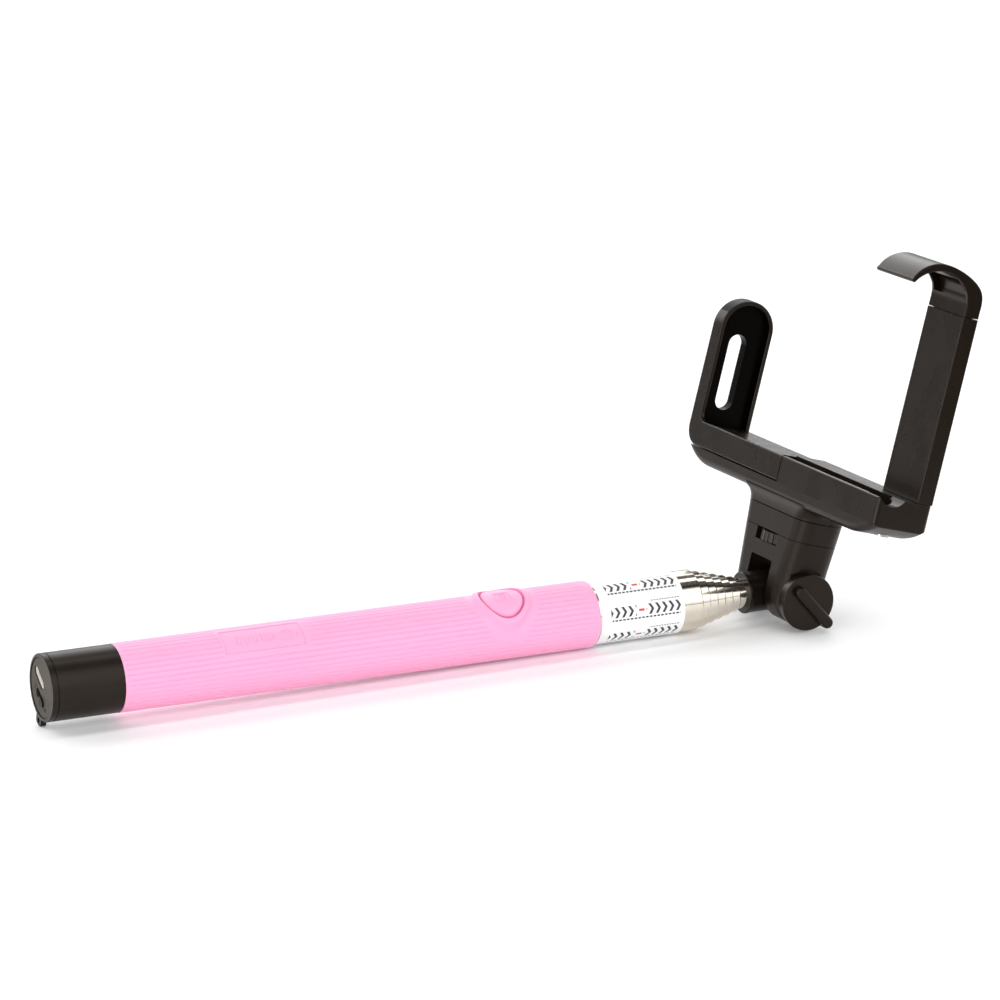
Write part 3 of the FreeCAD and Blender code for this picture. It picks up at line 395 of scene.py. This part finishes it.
def emblem_height(dx, dy):
    """Relief in the plaque: a plain oval outline and a row of short bars beside it."""
    oval = np.hypot((dx - OVAL_X) / OVAL_HALF[0], dy / OVAL_HALF[1])
    outline = smoothstep(0.30, 0.16, np.abs(oval - 0.8))
    to_bar = np.abs((dx - BARS_X - BARS_REACH) % BARS_PITCH - BARS_PITCH / 2)
    bars = smoothstep(0.62, 0.42, to_bar) * smoothstep(1.7, 1.5, np.abs(dy))
    bars = bars * (np.abs(dx - BARS_X) < BARS_REACH)
    near = (np.abs(dx) < 12.0) & (np.abs(dy) < 3.5)
    return EMBLEM_RELIEF * np.maximum(outline, bars) * near


def grip_radius(x, turn):
    """Outer radius of the grip at x and at a turn from the top toward the button's side."""
    button_turn = wrap(turn - BUTTON_TURN)
    gap = np.hypot(x - BUTTON_X, GRIP_R * np.sin(np.clip(button_turn, -1.5, 1.5)))
    gap = np.where(np.abs(GRIP_R * button_turn) > BUTTON_SIDE_REACH, 99.0, gap)
    plaque_y = GRIP_R * wrap(turn - PLAQUE_TURN)
    inside = np.minimum(PLAQUE_HALF_WIDTH - np.abs(plaque_y), np.minimum(x - PLAQUE_X[0], PLAQUE_X[1] - x))
    calm = np.maximum(1 - smoothstep(*RING_CALM, gap), inside > -PLAQUE_MARGIN)
    ends = smoothstep(0.0, RIB_FADE, x - GRIP_X[0]) * smoothstep(0.0, RIB_FADE, GRIP_X[1] - 1.2 - x)
    groove = np.clip(np.cos(RIBS * turn), 0, 1) ** 3
    radius = GRIP_R - RIB_DEPTH * groove * (1 - np.clip(calm, 0, 1)) * ends
    radius = radius - PLAQUE_DEPTH * smoothstep(0, PLAQUE_EDGE, inside)
    radius = radius + emblem_height(x - sum(PLAQUE_X) / 2, plaque_y)
    radius = radius + smoothstep(RING_SLOPE[1], RING_SLOPE[0], gap) * RING_SWELL
    radius = radius - smoothstep(WINDOW_EDGE[1], WINDOW_EDGE[0], gap) * (radius - WINDOW_FLOOR_R)
    radius = radius - round_over(GRIP_FRONT_ROUND, x - (GRIP_X[1] - GRIP_FRONT_ROUND))
    return radius - round_over(GRIP_REAR_ROUND, (GRIP_X[0] + GRIP_REAR_ROUND) - x)


def grip_stations():
    """Places along the grip where the mesh has a ring: close together at each feature."""
    xs = list(np.linspace(GRIP_X[0], GRIP_X[0] + 2.0, 12))
    xs += list(np.arange(GRIP_X[0] + 3.5, PLAQUE_X[0] - 1.0, 3.0))
    xs += list(np.arange(PLAQUE_X[0] - 0.8, PLAQUE_X[1] + 0.85, 0.15))
    xs += list(np.arange(PLAQUE_X[1] + 2.5, BUTTON_X - 12.5, 3.0))
    xs += list(np.arange(BUTTON_X - 12.0, BUTTON_X + 12.1, 0.25))
    xs += list(np.arange(BUTTON_X + 14.0, GRIP_X[1] - 2.0, 3.0))
    xs += list(np.linspace(GRIP_X[1] - 1.6, GRIP_X[1], 14))
    return np.array(sorted(set(round(x, 4) for x in xs)))


def grip_mesh():
    """Sleeve with lengthwise ribs, a sunk plaque and a raised ring round the button."""
    turns = 560
    xs = grip_stations()
    angles = np.linspace(0, 2 * math.pi, turns, endpoint=False)
    radii = np.array([grip_radius(np.full(turns, x), angles) for x in xs])
    along = np.gradient(radii, xs, axis=0)
    around = (np.roll(radii, -1, axis=1) - np.roll(radii, 1, axis=1)) / (2 * GRIP_R * 2 * math.pi / turns)
    steep = np.hypot(along, around)
    steep[(xs < GRIP_X[0] + 1.0) | (xs > GRIP_X[1] - 1.0)] = 0
    # painted shade: weights that deepen the pink where the relief slopes
    shade_weights = np.concatenate([(SLOPE_SHADE_GAIN * steep).ravel(), np.zeros(2 * turns)])
    verts = []
    for x, radius in zip(xs, radii):
        verts += [(x, -r * math.sin(a), r * math.cos(a)) for r, a in zip(radius, angles)]
    for x in (GRIP_X[1], GRIP_X[0]):
        verts += [(x, -GRIP_BORE_R * math.sin(a), GRIP_BORE_R * math.cos(a)) for a in angles]
    faces = []
    rings = len(xs) + 2
    for i in range(rings):
        j = (i + 1) % rings
        for k in range(turns):
            m = (k + 1) % turns
            faces.append((i * turns + k, i * turns + m, j * turns + m, j * turns + k))
    new_object("grip_sleeve_ribbed", verts, faces, shade_weights, "grip_pink", "handle", "grip_sleeve")


def icon_height(dx, dy):
    """Relief on the button: a plain camera outline with a round lens."""
    body = np.maximum(np.abs(dx) - ICON_BODY[0], np.abs(dy) - ICON_BODY[1])
    frame_line = smoothstep(0.28, 0.08, np.abs(body))
    lens = smoothstep(0.26, 0.06, np.abs(np.hypot(dx, dy) - ICON_LENS_R))
    return ICON_RELIEF * np.maximum(frame_line, lens)


def button_mesh():
    """Round cap that follows the grip's curve, its edge rounded over."""
    segments, rings = 120, 44
    spokes = [2 * math.pi * k / segments for k in range(segments)]
    flat = [(0.0, 0.0)]
    for i in range(1, rings + 1):
        d = BUTTON_EDGE_R * i / rings
        flat += [(d * math.cos(a), d * math.sin(a)) for a in spokes]
    x, y = np.array(flat).T
    d = np.hypot(x, y)
    top = BUTTON_TOP_R - ICON_RELIEF - BUTTON_CROWN * (d / BUTTON_EDGE_R) ** 2
    radius = top - round_over(BUTTON_EDGE_ROUND, d - BUTTON_EDGE_R + BUTTON_EDGE_ROUND) + icon_height(x, y)
    height = np.sqrt(radius ** 2 - y ** 2)
    under = np.where(d < BUTTON_POCKET[0], BUTTON_POCKET[1], BUTTON_LOW_R)
    base = np.sqrt(under ** 2 - y ** 2)
    count = len(flat)
    edge = 1 + (rings - 1) * segments
    points = list(zip(x, y, height)) + list(zip(x, y, base))
    faces = []
    for k in range(segments):
        m = (k + 1) % segments
        faces += [(0, 1 + k, 1 + m), (count, count + 1 + m, count + 1 + k)]
        for i in range(rings - 1):
            a = 1 + i * segments
            b = a + segments
            faces.append((a + k, b + k, b + m, a + m))
            faces.append((count + a + m, count + b + m, count + b + k, count + a + k))
        faces.append((edge + k, count + edge + k, count + edge + m, edge + m))
    step = 0.05
    rise = icon_height(x + step, y) - icon_height(x - step, y)
    run = icon_height(x, y + step) - icon_height(x, y - step)
    # painted shade: deeper pink on the slopes of the button's icon
    steep = SLOPE_SHADE_GAIN * np.hypot(rise, run) / (2 * step)
    # painted shade: the button's side wall and underside deepen to this weight
    shade_weights = np.concatenate([steep, np.full(count, BUTTON_WALL_SHADE)])
    turn = Matrix.Rotation(BUTTON_TURN, 3, "X")
    verts = [turn @ Vector((px + BUTTON_X, py, pz)) for px, py, pz in points]
    new_object("shutter_button_cap", verts, faces, shade_weights, "button_pink", "shutter_button", "shutter_button")


# ---- floor, light and camera --------------------------------------------------------------------
SKY_BANDS = (                     # degrees from overhead toward the camera's side, radiance
    (-90, 0.20), (-80, 0.25), (-71, 3.0), (-38, 2.2), (-31, 0.15), (-16, 0.15), (-12, 2.9),
    (-4, 2.9), (0, 0.10), (28, 0.10), (36, 1.9), (80, 1.6), (90, 1.0),
)
WINDOW_TOWARD = (-0.87, -0.44, 0.13)
WINDOW_HALF_ANGLES = (5, 13)      # inner and outer, degrees
WINDOW_RADIANCE = 6.0
PAPER_HALF = 6.0                  # metres
PAPER_EDGE = (-0.32, -0.14)       # the paper's front edge as reflections see it, metres
LUG_FOOT = Vector((-98.5, 0, -12.3)) * MM
GRIP_FOOT = Vector((76.5, 0, -10.28)) * MM
CAMERA_PLACE = (-0.54854, -1.26600, 0.38740)
CAMERA_RIGHT = Vector((0.90349, -0.42849, -0.00983))
CAMERA_UP = Vector((0.11212, 0.21414, 0.97035))
CAMERA_LENS = 172.898


def paper_material():
    """White paper, faintly bright of itself, that reflections see only up to its front edge."""
    n = Nodes("floor_paper")
    n.set(Specular_IOR_Level=0.25, Emission_Color=(1.0, 1.0, 1.0, 1.0), Emission_Strength=0.06)
    fibre = n.ramp(n.noise(0.01, 2.0), [(0.3, (0.915, 0.915, 0.915)), (0.7, (0.925, 0.925, 0.925))])
    beyond = n.span(n.axes()[1], 1.0, 0.0, PAPER_EDGE)
    glossy = n.node("ShaderNodeLightPath").outputs["Is Glossy Ray"]
    n.colour(n.mix(n.math("MULTIPLY", beyond, glossy), fibre, (0.02, 0.02, 0.02)))
    n.rough(n.span(n.noise(0.05, 2.0), 0.55, 0.62))
    return n.material


def lay_floor():
    """Plane under the stick, which rests on the lug and on the front of the grip."""
    mesh = bpy.data.meshes.new("floor")
    corners = [(sx * PAPER_HALF, sy * PAPER_HALF, 0) for sx, sy in ((-1, -1), (1, -1), (1, 1), (-1, 1))]
    mesh.from_pydata(corners, [], [(0, 1, 2, 3)])
    floor = bpy.data.objects.new("floor", mesh)
    bpy.context.scene.collection.objects.link(floor)
    floor.location = GRIP_FOOT
    rise = GRIP_FOOT - LUG_FOOT
    floor.rotation_euler = (0, -math.atan2(rise.z, rise.x), 0)
    floor.data.materials.append(paper_material())


def light_studio():
    """Sky of soft bands along the stick and one window, which the camera itself sees as plain white."""
    world = bpy.data.worlds.new("studio")
    bpy.context.scene.world = world
    world.use_nodes = True
    nodes = world.node_tree.nodes
    link = world.node_tree.links.new

    split = nodes.new("ShaderNodeSeparateXYZ")
    direction = nodes.new("ShaderNodeTexCoord").outputs["Generated"]
    link(direction, split.inputs["Vector"])
    turn = nodes.new("ShaderNodeMath")
    turn.operation = "ARCTAN2"
    link(split.outputs["Y"], turn.inputs[0])
    link(split.outputs["Z"], turn.inputs[1])
    place = nodes.new("ShaderNodeMapRange")
    place.inputs["From Min"].default_value = math.pi / 2
    place.inputs["From Max"].default_value = -math.pi / 2
    link(turn.outputs["Value"], place.inputs["Value"])
    bands = nodes.new("ShaderNodeValToRGB")
    while len(bands.color_ramp.elements) < len(SKY_BANDS):
        bands.color_ramp.elements.new(0.5)
    for element, (angle, level) in zip(bands.color_ramp.elements, SKY_BANDS):
        element.position = (angle + 90) / 180
        element.color = (level, level, level, 1.0)
    link(place.outputs["Result"], bands.inputs["Fac"])

    dot = nodes.new("ShaderNodeVectorMath")
    dot.operation = "DOT_PRODUCT"
    dot.inputs[1].default_value = Vector(WINDOW_TOWARD).normalized()
    link(direction, dot.inputs[0])
    pane = nodes.new("ShaderNodeMapRange")
    pane.interpolation_type = "SMOOTHSTEP"
    inner, outer = WINDOW_HALF_ANGLES
    pane.inputs["From Min"].default_value = math.cos(math.radians(outer))
    pane.inputs["From Max"].default_value = math.cos(math.radians(inner))
    pane.inputs["To Max"].default_value = WINDOW_RADIANCE
    link(dot.outputs["Value"], pane.inputs["Value"])

    light = nodes.new("ShaderNodeMix")
    light.data_type = "RGBA"
    light.blend_type = "ADD"
    light.inputs["Factor"].default_value = 1.0
    link(bands.outputs["Color"], light.inputs[6])
    link(pane.outputs["Result"], light.inputs[7])
    seen = nodes.new("ShaderNodeMix")
    seen.data_type = "RGBA"
    seen.inputs[7].default_value = (1.0, 1.0, 1.0, 1.0)
    link(nodes.new("ShaderNodeLightPath").outputs["Is Camera Ray"], seen.inputs["Factor"])
    link(light.outputs[2], seen.inputs[6])
    link(seen.outputs[2], nodes["Background"].inputs["Color"])


def set_camera():
    data = bpy.data.cameras.new("camera")
    data.sensor_width = 36.0
    data.lens = CAMERA_LENS
    data.clip_end = 50.0
    camera = bpy.data.objects.new("camera", data)
    bpy.context.scene.collection.objects.link(camera)
    rotation = Matrix((CAMERA_RIGHT, CAMERA_UP, CAMERA_RIGHT.cross(CAMERA_UP))).transposed()
    camera.matrix_world = Matrix.Translation(Vector(CAMERA_PLACE)) @ rotation.to_4x4()
    bpy.context.scene.camera = camera
    bpy.context.scene.view_settings.view_transform = "Standard"


for name, obj in NODES.items():
    dress(obj, SLOT_OF[name])
grip_mesh()
button_mesh()
lay_floor()
light_studio()
set_camera()
